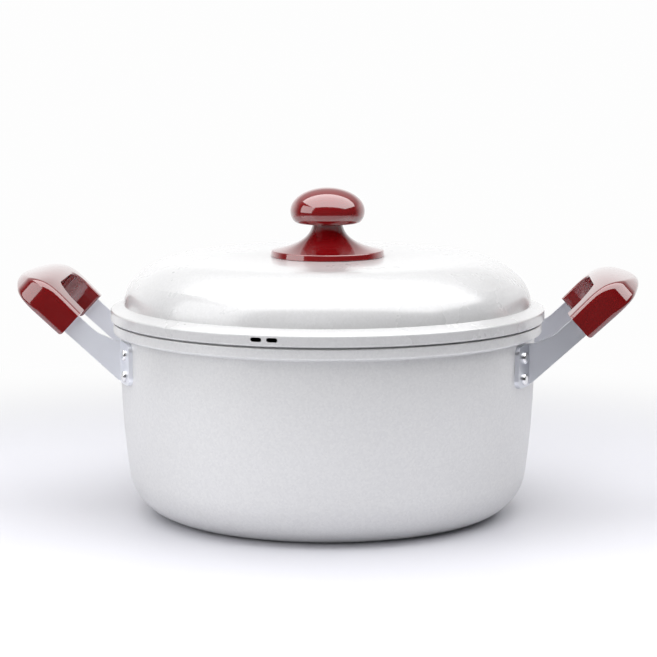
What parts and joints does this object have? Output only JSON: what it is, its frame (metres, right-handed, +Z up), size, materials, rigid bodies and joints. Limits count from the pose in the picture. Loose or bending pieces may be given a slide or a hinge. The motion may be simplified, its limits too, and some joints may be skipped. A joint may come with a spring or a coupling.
{
  "type": "two-handled casserole pot with lid",
  "caption": "Round two-handled casserole pot with a domed lift-off lid, mushroom knob, riveted strap brackets and horseshoe grips.",
  "frame": {"origin": "centre of the flat base, on the surface the pot stands on", "axes": "+Z up along the pot's axis, X through both side handles, the steam slots face -Y"},
  "size_m": [0.3566, 0.25, 0.1876],
  "materials": {
    "pot_coating": "satin",
    "lid_coating": "satin",
    "knob_resin": "gloss",
    "grip_resin": "gloss",
    "brass": "satin",
    "screw_steel": "satin",
    "strap_aluminium": "satin",
    "rivet_aluminium": "gloss"
  },
  "bodies": {
    "pot": {"pot_body": "pot_coating", "right_bracket": "strap_aluminium", "left_bracket": "strap_aluminium", "right_grip": "grip_resin", "left_grip": "grip_resin", "right_grip_insert": "brass", "left_grip_insert": "brass", "right_grip_screw": "screw_steel", "left_grip_screw": "screw_steel", "right_front_rivets": "rivet_aluminium", "right_rear_rivets": "rivet_aluminium", "left_front_rivets": "rivet_aluminium", "left_rear_rivets": "rivet_aluminium"},
    "lid": {"lid_shell": "lid_coating", "knob_base": "knob_resin", "knob_cap": "knob_resin", "knob_insert": "brass", "knob_screw": "screw_steel", "knob_washer": "screw_steel"}
  },
  "joints": [
    {"name": "lid_lift", "type": "slide", "parent": "pot", "child": "lid", "axis": [0, 0, 1], "range_m": [0, 0.06]}
  ]
}
